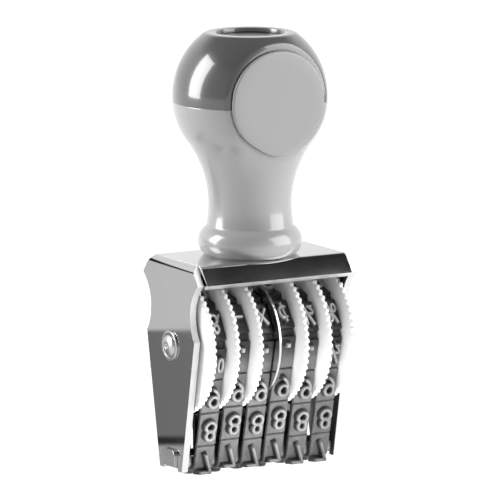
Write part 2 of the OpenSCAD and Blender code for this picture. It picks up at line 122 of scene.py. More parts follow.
# %% Helpers for nodes and grids
def node(tree, kind, inputs=None, **settings):
    """Adds a node, sets its options, and links or sets its inputs."""
    made = tree.nodes.new(kind)
    for key, value in settings.items():
        setattr(made, key, value)
    for key, value in (inputs or {}).items():
        if isinstance(value, bpy.types.NodeSocket):
            tree.links.new(value, made.inputs[key])
        else:
            made.inputs[key].default_value = value
    return made


def grid_faces(rows, cols, wrap_rows=False, wrap_cols=False):
    """Quads between neighbours of a rows x cols grid; a wrapped way joins its last line to the first."""
    i = np.arange(rows if wrap_rows else rows - 1)[:, None]
    j = np.arange(cols if wrap_cols else cols - 1)[None, :]
    down, right = (i + 1) % rows, (j + 1) % cols
    quads = np.stack([i * cols + j, i * cols + right, down * cols + right, down * cols + j], -1)
    return quads.reshape(-1, 4).tolist()


def joined(shells):
    """Several (points, faces) shells as one: each shell's faces are shifted by the points before it."""
    points, faces, start = [], [], 0
    for shell_points, shell_faces in shells:
        points.append(shell_points)
        faces += [[index + start for index in face] for face in shell_faces]
        start += len(shell_points)
    return np.concatenate(points), faces


# %% [markdown]
# ## Finishes
# Every finish is a Principled shader whose colour, roughness and relief come from noise in the
# piece's own Object coordinates. Photographs could be wrapped on instead, but noise has no
# seams, and it stays on the piece when a wheel turns.

# %% The start of a finish
def grey(value):
    """A grey level as a colour socket takes it."""
    return (value, value, value, 1)


def new_finish(name):
    """An empty material with a Principled shader, and its tree."""
    material = bpy.data.materials.new(name)
    material.use_nodes = True
    tree = material.node_tree
    return material, tree, tree.nodes["Principled BSDF"]


def noise(tree, scale, stretch=(1, 1, 1), detail=3, roughness=0.5):
    """Noise in Object coordinates, with scale features in a metre, squeezed by stretch per axis."""
    place = node(tree, "ShaderNodeTexCoord").outputs["Object"]
    mapped = node(tree, "ShaderNodeMapping", {"Vector": place, "Scale": stretch}).outputs["Vector"]
    made = node(tree, "ShaderNodeTexNoise", {"Vector": mapped, "Scale": scale, "Detail": detail})
    made.inputs["Roughness"].default_value = roughness
    return made.outputs["Fac"]


def between(tree, factor, low, high, start=0.3, end=0.7):
    """A number that goes from low to high while the factor goes from start to end."""
    made = node(tree, "ShaderNodeMapRange", {"Value": factor, "From Min": start, "From Max": end})
    made.inputs["To Min"].default_value = low
    made.inputs["To Max"].default_value = high
    return made.outputs["Result"]


def mixed(tree, factor, first, second):
    """A colour between two: each is a grey level or a colour socket."""
    made = node(tree, "ShaderNodeMix", data_type="RGBA")
    tree.links.new(factor, made.inputs["Factor"])
    for socket, value in ((made.inputs[6], first), (made.inputs[7], second)):
        if isinstance(value, bpy.types.NodeSocket):
            tree.links.new(value, socket)
        else:
            socket.default_value = value if isinstance(value, tuple) else grey(value)
    return made.outputs[2]


def relief(tree, shader, height, depth):
    """Bump on the shader: the height socket's full swing stands for depth, in metres."""
    bump = node(tree, "ShaderNodeBump", {"Height": height, "Distance": depth, "Strength": 1.0})
    tree.links.new(bump.outputs["Normal"], shader.inputs["Normal"])


# %% [markdown]
# ### Chrome and zinc plate
# The sheet is polished and plated, so it mirrors the studio, but handling leaves a faint haze
# and hairlines. A stretched noise makes the hairlines, and a broad one lets the haze come and go.
# Small parts are zinc plated, and a sheared edge takes the plate less well. The frame's inner
# faces are given a dark, dull tone, which is painted shade between the plates and the wheels.

# %% Chrome and plated steel
def chrome_finish(name, tone, haze, hair):
    """Plated metal: tone is its reflection, haze its mean roughness, hair its hairlines' depth."""
    material, tree, shader = new_finish(name)
    clouds = noise(tree, 90, detail=4)
    hairs = noise(tree, 1500, stretch=(1, 0.06, 1), detail=2)
    shader.inputs["Metallic"].default_value = 1
    tree.links.new(mixed(tree, clouds, tone * 0.96, tone * 1.04), shader.inputs["Base Color"])
    tree.links.new(between(tree, clouds, haze * 0.7, haze * 1.4), shader.inputs["Roughness"])
    relief(tree, shader, hairs, hair)
    return material


chrome = chrome_finish("chrome_sheet", 0.62, 0.09, 1e-7)
ring_chrome = chrome_finish("ring_chrome", 0.8, 0.16, 2e-7)
zinc = chrome_finish("zinc_steel", 0.5, 0.28, 8e-7)
sheared = chrome_finish("sheared_edge", 0.8, 0.42, 1.6e-6)
# The dark, dull inner finish is painted shade for the inside of the frame.
painted_shade_inside = chrome_finish("inside_painted_shade", 0.12, 0.5, 1.6e-6)
print("metal finishes made")

# %% [markdown]
# ### Plastics
# The wheels are moulded in white plastic with a satin skin, and so is the grey medallion. The
# handle's two halves are polished, so they get a clear coat over the skin.

# %% Plastic finishes
def plastic_finish(name, tone, rough, coat=0.0, grain=2e-6):
    """Moulded plastic: a plain tone with faint flow clouds and a fine skin."""
    material, tree, shader = new_finish(name)
    clouds = noise(tree, 60, detail=3)
    skin = noise(tree, 2600, detail=2)
    tree.links.new(mixed(tree, clouds, tone * 0.97, min(1, tone * 1.03)), shader.inputs["Base Color"])
    tree.links.new(between(tree, clouds, rough * 0.85, rough * 1.15, 0, 1), shader.inputs["Roughness"])
    shader.inputs["Coat Weight"].default_value = coat
    shader.inputs["Coat Roughness"].default_value = 0.06
    relief(tree, shader, skin, grain)
    return material


white_plastic = plastic_finish("white_plastic", 0.93, 0.42, grain=4e-6)
light_plastic = plastic_finish("light_handle", 0.42, 0.26, coat=0.6, grain=5e-7)
dark_plastic = plastic_finish("dark_cap", 0.12, 0.22, coat=0.8, grain=5e-7)
medal_plastic = plastic_finish("medallion_plastic", 0.41, 0.34, grain=1e-6)
disc_plastic = plastic_finish("recess_disc", 0.02, 0.3, coat=0.3)
print("plastic finishes made")

# %% [markdown]
# ### Rubber
# The bands are dark moulded rubber. Inking and wiping have worn the faces of the figures
# lighter, and dust sits in the rubber's skin. The wear could be painted by a noise alone. Here
# each band carries an attribute that is high on a figure's face and 0 on its walls, so the wear
# follows the moulding exactly. The same attribute carries painted light: it is low on the strip
# where the band hangs free of the wheel, for the bright table's light on that run, and lower
# still in the grooves, which is painted shade. A figure's face is drawn darker where the band
# hangs free than on the wheel.

# %% Rubber and brass
def rubber_finish(name):
    """Dark rubber that goes over to a light tone with the band's attribute of wear and painted light, with
    dust in its skin.
    """
    material, tree, shader = new_finish(name)
    wear_and_painted_light = node(tree, "ShaderNodeAttribute", attribute_name="wear_and_painted_light").outputs["Fac"]
    dust = noise(tree, 900, detail=5, roughness=0.65)
    skin = noise(tree, 4200, detail=3)
    dark = mixed(tree, between(tree, dust, 0, 1, 0.35, 0.75), 0.02, 0.045)
    wear_and_painted_light_tone = mixed(tree, between(tree, dust, 0, 1, 0.3, 0.7), 0.38, 0.56)
    # The light tone stands for worn figure faces and, as painted light, for the table's light on the free
    # strip.
    tree.links.new(mixed(tree, wear_and_painted_light, dark, wear_and_painted_light_tone), shader.inputs["Base Color"])
    tree.links.new(between(tree, dust, 0.34, 0.5), shader.inputs["Roughness"])
    relief(tree, shader, skin, 6e-6)
    return material


def brass_finish(name):
    """Turned brass: noise squeezed along the height stands for the tool's rings."""
    material, tree, shader = new_finish(name)
    turned = noise(tree, 1800, stretch=(1, 1, 3), detail=2)
    shader.inputs["Metallic"].default_value = 1
    shader.inputs["Base Color"].default_value = (0.72, 0.53, 0.26, 1)
    tree.links.new(between(tree, turned, 0.2, 0.36), shader.inputs["Roughness"])
    relief(tree, shader, turned, 2e-6)
    return material


rubber = rubber_finish("type_rubber")
brass = brass_finish("insert_brass")
print("rubber and brass made")

# %% [markdown]
# ## A piece from its surface
# All new pieces are closed shells of points worked out with numpy. This cell turns them into a
# mesh, lets the faces look outwards, shades curves smoothly and keeps real corners sharp. Then
# it gives the piece its finish and ties it to its body, so that it moves with it.

# %% Make, finish and tie a piece
import bmesh


def make_piece(name, shell, material, body, corner=38, wear_and_painted_light=None):
    """One object from a closed shell in millimetres about the handle's axis; corner is in degrees."""
    points, faces = shell
    mesh = bpy.data.meshes.new(name)
    mesh.from_pydata((points + [0, axis_y, 0]) * MM, [], faces)
    if wear_and_painted_light is not None:
        mesh.attributes.new("wear_and_painted_light", "FLOAT", "POINT").data.foreach_set("value", wear_and_painted_light)
    shape = bmesh.new()
    shape.from_mesh(mesh)
    bmesh.ops.recalc_face_normals(shape, faces=shape.faces)
    shape.to_mesh(mesh)
    shape.free()
    mesh.shade_smooth()
    mesh.set_sharp_from_angle(angle=np.radians(corner))
    mesh.materials.append(material)
    piece = bpy.data.objects.new(name, mesh)
    bpy.context.scene.collection.objects.link(piece)
    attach(piece, body)
    print(name, len(mesh.vertices), "points")
    return piece


def revolved(profile, angles):
    """A profile of (along, radius) turned about the axle.

    X is along. At angle a, Y is radius cos a, and Z is the axle's height plus radius sin a.
    """
    along, radius = profile[..., 0], profile[..., 1]
    if radius.ndim == 1:
        along, radius = along[:, None], radius[:, None]
    x = np.broadcast_to(along, (len(profile), len(angles)))
    y = radius * np.cos(angles)
    z = axle_z + radius * np.sin(angles)
    return np.stack([x, y + 0 * x, z + 0 * x], -1)


def eased(profile, cut):
    """A closed profile whose corners are cut off at that distance: three points take each one's place."""
    before = np.roll(profile, 1, 0) - profile
    after = np.roll(profile, -1, 0) - profile
    before /= np.linalg.norm(before, axis=1, keepdims=True)
    after /= np.linalg.norm(after, axis=1, keepdims=True)
    turns = [profile + cut * before, profile + 0.3 * cut * (before + after), profile + cut * after]
    return np.stack(turns, 1).reshape(-1, 2)


# %% [markdown]
# ## The thumb wheels
# A wheel is one moulding: a drum that carries the band, and a thin toothed flange that a finger
# turns. It could be cut from a disc with booleans. Turning a profile is cleaner: the rim's
# radius simply rises and falls sixty times on the way round.

# %% Turn the wheels
wheel_low, wheel_high = span("wheel_4")
wheel_r = (wheel_high[2] - wheel_low[2]) / 2
tooth_count, tooth_h = 60, 0.5
tooth_parts = [0, 0.05, 0.17, 0.23, 0.375, 0.52, 0.58, 0.7, 0.78]
tooth_tops = [0.02, 0.2, 0.9, 1, 1, 1, 0.9, 0.2, 0]
tooth_foot, rim_blend, wheel_edge = wheel_r - 1.6 * tooth_h, 1.3 * tooth_h, 0.11
drum_w, flange_t, drum_r = 4.5, 0.8, 8.75
bore_r, boss_r, pocket_r, pocket_depth = 2.36, 4.1, 7.55, 3.5


def tooth_wave(angles):
    """1 on a tooth's top and 0 between teeth, with sloping sides, counted from the +Y side."""
    part = (angles / (2 * np.pi) * tooth_count) % 1
    return np.interp(part, tooth_parts + [1], tooth_tops + [0])


def wheel_shell(low_x, high_x, flange_right):
    """A profile from the bore out over the pocket, the drum and the flange, turned about the axle.

    The radius sinks by the tooth height between teeth. That fades out from the rim towards the
    teeth's feet, so the flange's faces stay flat.
    """
    profile = eased(np.array([
        [0, bore_r], [0, boss_r], [pocket_depth, boss_r], [pocket_depth, pocket_r], [0, pocket_r],
        [0, drum_r], [drum_w, drum_r], [drum_w, tooth_foot], [drum_w, wheel_r],
        [drum_w + flange_t, wheel_r], [drum_w + flange_t, tooth_foot], [drum_w + flange_t, bore_r],
    ]), wheel_edge)
    angles = ((np.arange(tooth_count)[:, None] + np.array(tooth_parts)) / tooth_count * 2 * np.pi).ravel()
    radius = np.repeat(profile[:, 1:], len(angles), 1)
    rim = np.clip((profile[:, 1:] - wheel_r + rim_blend) / (rim_blend - wheel_edge), 0, 1)
    radius -= rim * tooth_h * (1 - tooth_wave(angles))
    along = low_x + profile[:, 0] if flange_right else high_x - profile[:, 0]
    grid = revolved(np.stack([np.repeat(along[:, None], len(angles), 1), radius], -1), angles)
    return grid.reshape(-1, 3), grid_faces(len(profile), len(angles), True, True)


for number in range(1, 7):
    low, high = span(f"wheel_{number}")
    shell = wheel_shell(low[0], high[0], number > 3)
    name = f"toothed_wheel_{number}"
    wheel = make_piece(name, shell, white_plastic, f"wheel_{number}")
    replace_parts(wheel, f"wheel_{number}")

# %% [markdown]
# ## The path of a band
# A band runs over the top of its wheel, drops in two straight runs, and turns tightly round the
# bridge at the foot. One length, s, tells every place on it: 0 is the middle of the foot, and s
# grows up the front. It runs along the inner face, which keeps its length round a bend, so the
# figures spread on the wheel as real ones do. Grooves and figures are then set out along s, as
# on a flat strip, and each band stands a little past the middle, as it was left.

# %% The band's path
band_low, band_high = span("band_1")
band_w = band_high[0] - band_low[0]
band_t, type_h, type_root = 0.85, 1.25, 0.6
loop_r, corner_r, bridge_d, slip = 9.1, 1.0, 7.4, 0.05
type_count, band_shift = 12, 2.2
loop_bottom = band_t + type_h
corner_y = bridge_d / 2 - corner_r + 2 * slip
corner_z = loop_bottom + corner_r
drop = axle_z - corner_z
tilt = np.arcsin((loop_r - corner_r) / np.hypot(corner_y, drop)) - np.arctan(corner_y / drop)
face_r, over_r = corner_r + band_t, loop_r + band_t
corner_s = corner_y + corner_r * (np.pi / 2 - tilt)
straight_s = corner_s + np.sqrt(corner_y ** 2 + drop ** 2 - (loop_r - corner_r) ** 2)
loop_half = straight_s + loop_r * (np.pi / 2 + tilt)
type_pitch = 2 * loop_half / type_count


def station(s):
    """Place (y, z) on the band's face at length s, and the outward angle there.

    The path is flat at the foot, an arc round the bridge's corner, a straight run and an arc over
    the wheel. Worked out for the front, it is mirrored for the back.
    """
    q = np.abs(s)
    where = [q < corner_y, q < corner_s, q < straight_s]
    round_foot = 1.5 * np.pi - (q - corner_y) / corner_r
    side = np.pi + tilt + 0 * q
    over = np.pi + tilt - (q - straight_s) / loop_r
    run = q - corner_s
    y = np.select(where, [
        -q, -corner_y + face_r * np.cos(round_foot),
        -corner_y + face_r * np.cos(side) - run * np.sin(tilt),
    ], over_r * np.cos(over))
    z = np.select(where, [
        0 * q + loop_bottom - band_t, corner_z + face_r * np.sin(round_foot),
        corner_z + face_r * np.sin(side) + run * np.cos(tilt),
    ], axle_z + over_r * np.sin(over))
    angle = np.select(where, [0 * q + 1.5 * np.pi, round_foot, side], over)
    return np.where(s < 0, -y, y), z, np.where(s < 0, np.pi - angle, angle)


print("band length", round(2 * loop_half, 1), "figure pitch", round(type_pitch, 2))

# %% [markdown]
# ## The strip
# The strip is a profile carried along that path: a flat band with soft edges. Between two
# figures a groove lets the rubber bend. The groove isn't cut: the outer half of the profile
# just sinks wherever s comes near a groove. Over the wheel the stiff pads stay flat and stand
# off the curve, so the grooves open there and the band looks like a chain of small plates.

# %% The strip's surface
groove_w, groove_h, open_groove_w = 0.4, 0.34, 1.5
groove_mouth, groove_wall = 0.1, 0.24
outer_edge, inner_edge = 0.14, 0.1
touch_run = 3.0
# How much lighter the free strip is painted: painted light for the bright table under it.
painted_table_light = 0.23


def on_wheel(s):
    """0 where the band hangs free and 1 where it lies on the wheel, with a soft change."""
    return np.clip((np.abs(s) - straight_s + touch_run / 2) / touch_run, 0, 1)


def strip_shell(centre_x, shift):
    """A profile of (across, height) carried along the path, and the painted light on each point:
    the face is painted lighter where the band hangs free, for the bright table's light, and less
    so in a groove, which is painted shade.

    The upper half of the profile sinks near a groove. Over the wheel it rises off the curve by
    radius times (1 / cos lean - 1), the lean being its distance from the pad's middle over the
    radius, so each pad stays flat.
    """
    half, soft = band_w / 2, outer_edge
    outer = [[-half, band_t - soft], [-half + 0.3 * soft, band_t - 0.3 * soft], [-half + soft, band_t]]
    outer += [[x, band_t] for x in (-0.5 * half, 0, 0.5 * half)]
    outer += [[-x, height] for x, height in outer[2::-1]]
    inner = [[half, inner_edge], [half - inner_edge, 0], [-half + inner_edge, 0], [-half, inner_edge]]
    profile = np.array(outer + inner)
    near_groove = np.array([-1.1, -0.95, -0.8, -0.65, -0.5, -0.36, -0.28, -0.2, -0.14, 0])
    near_groove = np.concatenate([near_groove, -near_groove[-2::-1]])
    on_pad = np.linspace(near_groove[-1], type_pitch - near_groove[-1], 16)[1:-1]
    steps = np.concatenate([near_groove, on_pad])
    run = ((np.arange(type_count)[:, None] + 0.5) * type_pitch + steps).ravel()
    from_figure = (run + type_pitch / 2) % type_pitch - type_pitch / 2
    s = (run - shift + loop_half) % (2 * loop_half) - loop_half
    gap = type_pitch / 2 - np.abs(from_figure)
    width = groove_w + (open_groove_w - groove_w) * on_wheel(s)
    dip = groove_h * np.clip((width / 2 + groove_mouth - gap) / groove_wall, 0, 1) ** 1.5
    lean = np.clip(np.abs(s) - straight_s, 0, np.abs(from_figure)) / loop_r
    stand_off = over_r * (1 / np.cos(lean) - 1)
    y, z, angle = station(s)
    top = profile[:, 1] > band_t / 2
    rise = profile[:, 1] - band_t + np.where(top, (stand_off * (1 - dip / groove_h) - dip)[:, None], 0)
    x = np.broadcast_to(centre_x + profile[:, 0], rise.shape)
    grid = np.stack([
        x, y[:, None] + rise * np.cos(angle)[:, None], z[:, None] + rise * np.sin(angle)[:, None]
    ], -1)
    # Painted light: the strip's face is lighter where the band hangs free, for the table's light, and less
    # so in a groove, which is painted shade.
    painted_strip_light = top * (painted_table_light * (1 - on_wheel(s)) * (1 - 0.6 * dip / groove_h))[:, None]
    return grid.reshape(-1, 3), grid_faces(len(s), len(profile), True, True), painted_strip_light.ravel()


print("grooves", groove_w, "to", open_groove_w, "wide")

# %% [markdown]
# ## The figures
# Each figure is made of strokes, drawn as it prints. One unit is half a figure's width or
# height. A stroke that closes on itself is a ring, and the others have ends.

# %% Draw the figures
def curve(centre, radii, start, end):
    """Points on an ellipse's arc, about one every ten degrees."""
    a = np.radians(np.linspace(start, end, int(abs(end - start) / 10) + 2))
    return np.stack([centre[0] + radii[0] * np.cos(a), centre[1] + radii[1] * np.sin(a)], -1)


def arc(*shape):
    """An open stroke along part of an ellipse."""
    return curve(*shape), False


def ring(centre, radii):
    """A closed stroke round a whole ellipse."""
    return curve(centre, radii, 0, 360)[:-1], True


def line(start, end):
    """A straight stroke between two points."""
    return np.array([start, end], float), False


def placed(glyph, centre, scale):
    """The same strokes, scaled about their middle and moved."""
    return [(np.array(centre) + points * scale, closed) for points, closed in glyph]


SIX = [ring((0, -0.42), (0.95, 0.58)), arc((0.55, -0.42), (1.5, 1.42), 180, 98)]
ONE = [line((-0.7, 0.5), (0.15, 1)), line((0.15, 1), (0.15, -1))]
TWO = [arc((0, 0.42), (1, 0.58), 165, -35), line((0.82, 0.08), (-1, -1)), line((-1, -1), (1, -1))]
DIGITS = [
    [ring((0, 0), (1, 1))],
    ONE,
    TWO,
    [arc((0, 0.5), (0.85, 0.5), 150, -90), arc((0, -0.5), (1, 0.5), 90, -150)],
    [line((0.45, 1), (0.45, -1)), line((0.45, 1), (-1, -0.4)), line((-1, -0.4), (1, -0.4))],
    [line((0.85, 1), (-0.75, 1)), line((-0.75, 1), (-0.85, 0.1)),
     arc((-0.05, -0.38), (1, 0.62), 140, -145)],
    SIX,
    [line((-1, 1), (1, 1)), line((1, 1), (-0.3, -1))],
    [ring((0, 0.5), (0.8, 0.5)), ring((0, -0.47), (1, 0.53))],
    placed(SIX, (0, 0), (-1, -1)),
]
SLASH = [line((-0.8, -1), (0.8, 1))]
DASH = [line((-0.7, 0), (0.7, 0))]
CROSS = [line((-0.8, -0.8), (0.8, 0.8)), line((-0.8, 0.8), (0.8, -0.8))]
CENT = [arc((0, 0), (0.8, 0.65), 50, 310), line((0.2, 0.95), (-0.2, -0.95))]
PERCENT = [ring((-0.5, 0.52), (0.4, 0.4)), ring((0.5, -0.52), (0.4, 0.4))] + SLASH
AND = [
    ring((-0.1, 0.53), (0.46, 0.42)), ring((-0.24, -0.46), (0.66, 0.49)), line((-0.32, 0.26), (0.92, -0.9)),
]
TEN = [line((-0.65, -0.7), (-0.65, 0.7)), ring((0.45, 0), (0.45, 0.7))]
HALF = placed(ONE, (-0.6, 0.5), (0.3, 0.42)) + SLASH + placed(TWO, (0.6, -0.5), (0.35, 0.42))
DOT = [line((-0.15, y), (0.15, y)) for y in (-0.95, -0.75)]
SIGNS = [(TEN, AND), (DOT, DASH), (DOT, CROSS), (DOT, CENT), (DOT, HALF), (HALF, PERCENT)]
print("figures drawn:", len(DIGITS), "digits and", len(SIGNS), "pairs of signs")

# %% [markdown]
# ## A moulded stroke
# A mould needs draft, so a stroke's walls lean outwards towards the band, and its face has a
# small round edge. That is a profile carried along the stroke: each point of the profile is
# pushed sideways by half the width and its own draft, and at an end it is pushed on by the same
# draft, so end walls lean like side walls.

# %% Raise the strokes
type_w, type_size, stroke_w = 2.6, 4.2, 0.44
draft = np.tan(np.radians(17))
edge = 0.07
# How light a figure's face is drawn where the band hangs free, as a share of its tone on the wheel.
free_figure_tone = 0.52


def stroke_shell(path, closed, width):
    """Leaning walls along a path, as points of (x, y, height), and how worn each point is.

    At each height the walls stand half the width plus draft times the depth below the face to
    either side of the path. Only the face and its edge are worn.
    """
    ahead = (np.roll(path, -1, 0) - np.roll(path, 1, 0)) if closed else np.gradient(path, axis=0)
    ahead /= np.linalg.norm(ahead, axis=1, keepdims=True)
    side = np.stack([-ahead[:, 1], ahead[:, 0]], -1)
    heights = np.array([-type_root, type_h * 0.55, type_h - edge, type_h - 0.3 * edge, type_h])
    lean = draft * (type_h - heights) + np.array([0, 0, 0, -0.3 * edge, -edge])
    lean = np.concatenate([lean, lean[::-1]])
    height = np.concatenate([heights, heights[::-1]])
    sideways = (width / 2 + lean) * np.repeat([-1, 1], len(heights))
    flat = path[:, None, :] + side[:, None, :] * sideways[:, None]
    if not closed:
        reach = width / 2 if len(path) == 2 else 0
        flat[0] -= ahead[0] * (reach + lean)[:, None]
        flat[-1] += ahead[-1] * (reach + lean)[:, None]
    rows, cols = flat.shape[:2]
    points = np.concatenate([flat, np.broadcast_to(height, (rows, cols))[..., None]], -1)
    faces = grid_faces(rows, cols, closed, True)
    if not closed:
        faces += [list(range(cols)), list(range((rows - 1) * cols, rows * cols))]
    face = np.clip((height - type_h + 2 * edge) / edge, 0, 1)
    return points.reshape(-1, 3), faces, np.tile(face, rows)


def figure_shells(glyph, width, s, centre_x):
    """A glyph's strokes, laid on the band at length s, and how light their faces are drawn.

    Its up runs down the band, so it is mirrored as type is. A figure's face is drawn darker
    where the band hangs free than on the wheel.
    """
    unit = np.array([type_w - width, type_size - width]) / 2
    y, z, angle = (float(v) for v in station(np.array(s)))
    shells, wear_and_painted_light_parts, wear_and_painted_light_tone = [], [], free_figure_tone + (1 - free_figure_tone) * on_wheel(s)
    for path, closed in glyph:
        points, faces, wear_and_painted_light = stroke_shell(path * unit, closed, width)
        x, up, height = points[:, 0], -points[:, 1], points[:, 2]
        laid = np.stack([
            centre_x + x,
            y + up * np.sin(angle) + height * np.cos(angle),
            z - up * np.cos(angle) + height * np.sin(angle),
        ], -1)
        shells.append((laid, faces))
        wear_and_painted_light_parts.append(wear_and_painted_light_tone * wear_and_painted_light)
    return shells, wear_and_painted_light_parts


print("figures", type_w, "wide and", type_size, "high, raised by", type_h)

# %% [markdown]
# ## The six bands
# Ten digits and two signs of its own stand on every band. The figure 6 is at the foot, where it
# prints, and the order runs up the front. No wheel clicks into place exactly, so each band has
# its own small slip, and the rows come out as uneven as on a used stamp.

# %% Mould the bands
bottom_digit = 6
sign_stroke_w = 0.75 * stroke_w
slips = [0.25, -0.65, -0.2, -0.7, 0.3, 0.35]
for band in range(1, 7):
    low, high = span(f"band_{band}")
    centre_x = (low[0] + high[0]) / 2
    signs = [(glyph, sign_stroke_w) for glyph in SIGNS[band - 1]]
    glyphs = [(glyph, stroke_w) for glyph in DIGITS] + signs
    shift = band_shift + slips[band - 1]
    points, faces, painted_strip_light = strip_shell(centre_x, shift)
    shells, wear_and_painted_light_parts = [(points, faces)], [painted_strip_light]
    for place in range(type_count):
        s = place * type_pitch - shift
        glyph, width = glyphs[(bottom_digit + place) % type_count]
        raised, wear_and_painted_light = figure_shells(glyph, width, s - 2 * loop_half if s > loop_half else s, centre_x)
        shells += raised
        wear_and_painted_light_parts += wear_and_painted_light
    piece = make_piece(
        f"type_band_{band}", joined(shells), rubber, "root", wear_and_painted_light=np.concatenate(wear_and_painted_light_parts)
    )
    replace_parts(piece, f"band_{band}")

# %% [markdown]
# ## The handle's outline
# The handle is turned: a domed cap over a full belly that runs into a hollow neck and ends in a
# rounded foot. The front of the knob is cut flat for the medallion. A boolean would leave a
# knife edge there; a soft minimum of the two radii rounds it, as a mould does.

# %% The handle's radius at any height
cap_low, cap_high = span("handle_cap")
knob_r = cap_high[1] - axis_y
seam_z = cap_low[2]
equator_z = seam_z + 0.6
neck_r, neck_z, hollow_share = 8.4, frame_top + 10.1, 0.605
base_r, foot_r = 3.4, 10.5
flat_y = 10.7
rim_r, shoulder_r = 8.5, 1.8
dome_z = equator_z + 0.5
dome_in, dome_up = knob_r - rim_r, total_h - shoulder_r - dome_z
dome_r = (dome_in ** 2 + dome_up ** 2 - shoulder_r ** 2) / (2 * (dome_in - shoulder_r))
dome_c = (knob_r - dome_r, dome_z)
swell = knob_r - neck_r
both_r = (swell ** 2 + (equator_z - neck_z) ** 2) / (2 * swell)
neck_hollow = hollow_share * both_r
belly_r = both_r - neck_hollow
neck_c = (neck_r + neck_hollow, neck_z)
belly_c = (knob_r - belly_r, equator_z)
touch_z = belly_c[1] + (neck_c[1] - belly_c[1]) * belly_r / both_r
base_c = (foot_r - base_r, frame_top + 0.8 * base_r)


def half_chord(radius, offset):
    """Half the chord of a circle at that distance from its centre, and 0 outside it."""
    return np.sqrt(np.maximum(radius ** 2 - offset ** 2, 0))


def soft_min(a, b, blend):
    """The smaller of two values, rounded off where they are closer than blend."""
    near = np.maximum(blend - np.abs(a - b), 0) / blend
    return np.minimum(a, b) - near ** 2 * blend / 4


def knob_at(z):
    """Radius over the dome, the straight belt, the belly and the neck."""
    dome = dome_c[0] + half_chord(dome_r, z - dome_c[1])
    belly = belly_c[0] + half_chord(belly_r, z - belly_c[1])
    neck = neck_c[0] - half_chord(neck_hollow, z - neck_c[1])
    return np.select([z > dome_c[1], z > belly_c[1], z > touch_z], [dome, knob_r, belly], neck)


def turned_handle(profile, columns, rim):
    """A profile of (radius, z) turned about the handle's axis.

    At the front the radius is held to the flat: at angle a that is flat_y over minus sin a, and
    rim is the blend of the soft minimum between the two.
    """
    angles = np.linspace(0, 2 * np.pi, columns, endpoint=False)
    front = np.maximum(-np.sin(angles), 1e-6)
    radius = profile[:, :1] + 0 * angles
    held = soft_min(radius, flat_y / front[None, :], rim)
    radius = np.where((radius > flat_y - 1) & (front > 0.3)[None, :], held, radius)
    z = np.broadcast_to(profile[:, 1:], radius.shape)
    grid = np.stack([radius * np.cos(angles), radius * np.sin(angles), z], -1)
    caps = [list(range(columns)), list(range((len(profile) - 1) * columns, len(profile) * columns))]
    return grid.reshape(-1, 3), grid_faces(len(profile), columns, False, True) + caps


print("knob radius", round(knob_r, 1), "neck radius", neck_r, "seam at", round(seam_z, 1))

# %% [markdown]
# ## The light body of the handle
# It starts flat on the frame, swells into the foot, and runs up to the seam. Inside the cap a
# spigot goes on, so that the two halves centre on each other. The foot's arc and the hollow over
# it get rows of their own, which keeps the soft join between them round.

# %% Turn the handle's body
spigot_r, spigot_h, core_r = flat_y - 1.7, 8.0, 0.2
neck_start, foot_end, hollow_blend = 51.4, 52, 0.7
handle_columns = 320
foot_angles = np.radians(np.linspace(-53.1, 20, 16))
foot = np.stack([base_c[0] + base_r * np.cos(foot_angles), base_c[1] + base_r * np.sin(foot_angles)], -1)
z = np.concatenate([
    np.linspace(foot[-1, 1] + 0.15, base_c[1] + base_r + 1.2, 26),
    np.linspace(neck_start, seam_z - 0.06, 96),
])
foot_bulge = base_c[0] + half_chord(base_r, z - base_c[1])
side = np.where(z < foot_end, -soft_min(-knob_at(z), -foot_bulge, hollow_blend), knob_at(z))
body_profile = np.concatenate([
    [[core_r, frame_top], [6.0, frame_top], [foot[0, 0] - 0.05, frame_top]],
    foot, np.stack([side, z], -1),
    [[side[-1] - 0.02, seam_z - 0.015], [side[-1] - 0.07, seam_z], [spigot_r, seam_z],
     [spigot_r, seam_z + spigot_h], [core_r, seam_z + spigot_h]],
])
body_shell = turned_handle(body_profile, handle_columns, 0.5)
body = make_piece("turned_body", body_shell, light_plastic, "root")
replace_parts(body, "handle_body")

# %% [markdown]
# ## The dark cap
# The dome ends in a round shoulder and a shallow round recess for a disc. It could be a ball
# with pieces cut away. The body's own formula for the radius is used instead, so the two halves
# meet at the seam without a step.

# %% Turn the cap
recess_r, recess_h, joint_gap = 6.8, 1.2, 0.05
turn = np.arctan2(dome_up, rim_r - dome_c[0])
rise = np.linspace(seam_z + 0.12, dome_z + dome_r * np.sin(turn), 70)
dome = np.stack([knob_at(rise), rise], -1)
lip_angles = np.linspace(turn, np.pi / 2, 12)[1:]
lip = np.stack([
    rim_r + shoulder_r * np.cos(lip_angles), total_h - shoulder_r + shoulder_r * np.sin(lip_angles)
], -1)
cap_profile = np.concatenate([
    [[core_r, seam_z + spigot_h + joint_gap], [spigot_r + joint_gap, seam_z + spigot_h + joint_gap]],
    [[spigot_r + joint_gap, seam_z], [dome[0, 0] - 0.14, seam_z], [dome[0, 0] - 0.04, seam_z + 0.03]],
    dome, lip,
    [[recess_r + 0.35, total_h], [recess_r + 0.1, total_h - 0.08], [recess_r, total_h - 0.35]],
    [[recess_r, total_h - recess_h], [core_r, total_h - recess_h]],
])
cap_shell = turned_handle(cap_profile, handle_columns, 0.75)
cap = make_piece("domed_cap", cap_shell, dark_plastic, "root")
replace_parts(cap, "handle_cap")

# %% [markdown]
# ## The medallion and the recess disc
# The medallion's outline is the flat's own outline, drawn in at the sides and the ends. Rings of it
# shrink towards the middle: the outer ones make the soft edge and the undercut that shows as a
# dark line, and the inner ones the bare face.

# %% Shape the medallion and the disc
medal_low, medal_high = span("medallion")
medal_mid = (medal_low[2] + medal_high[2]) / 2
medal_half = np.array([medal_high[0], (medal_high[2] - medal_low[2]) / 2])
knob_from = 60


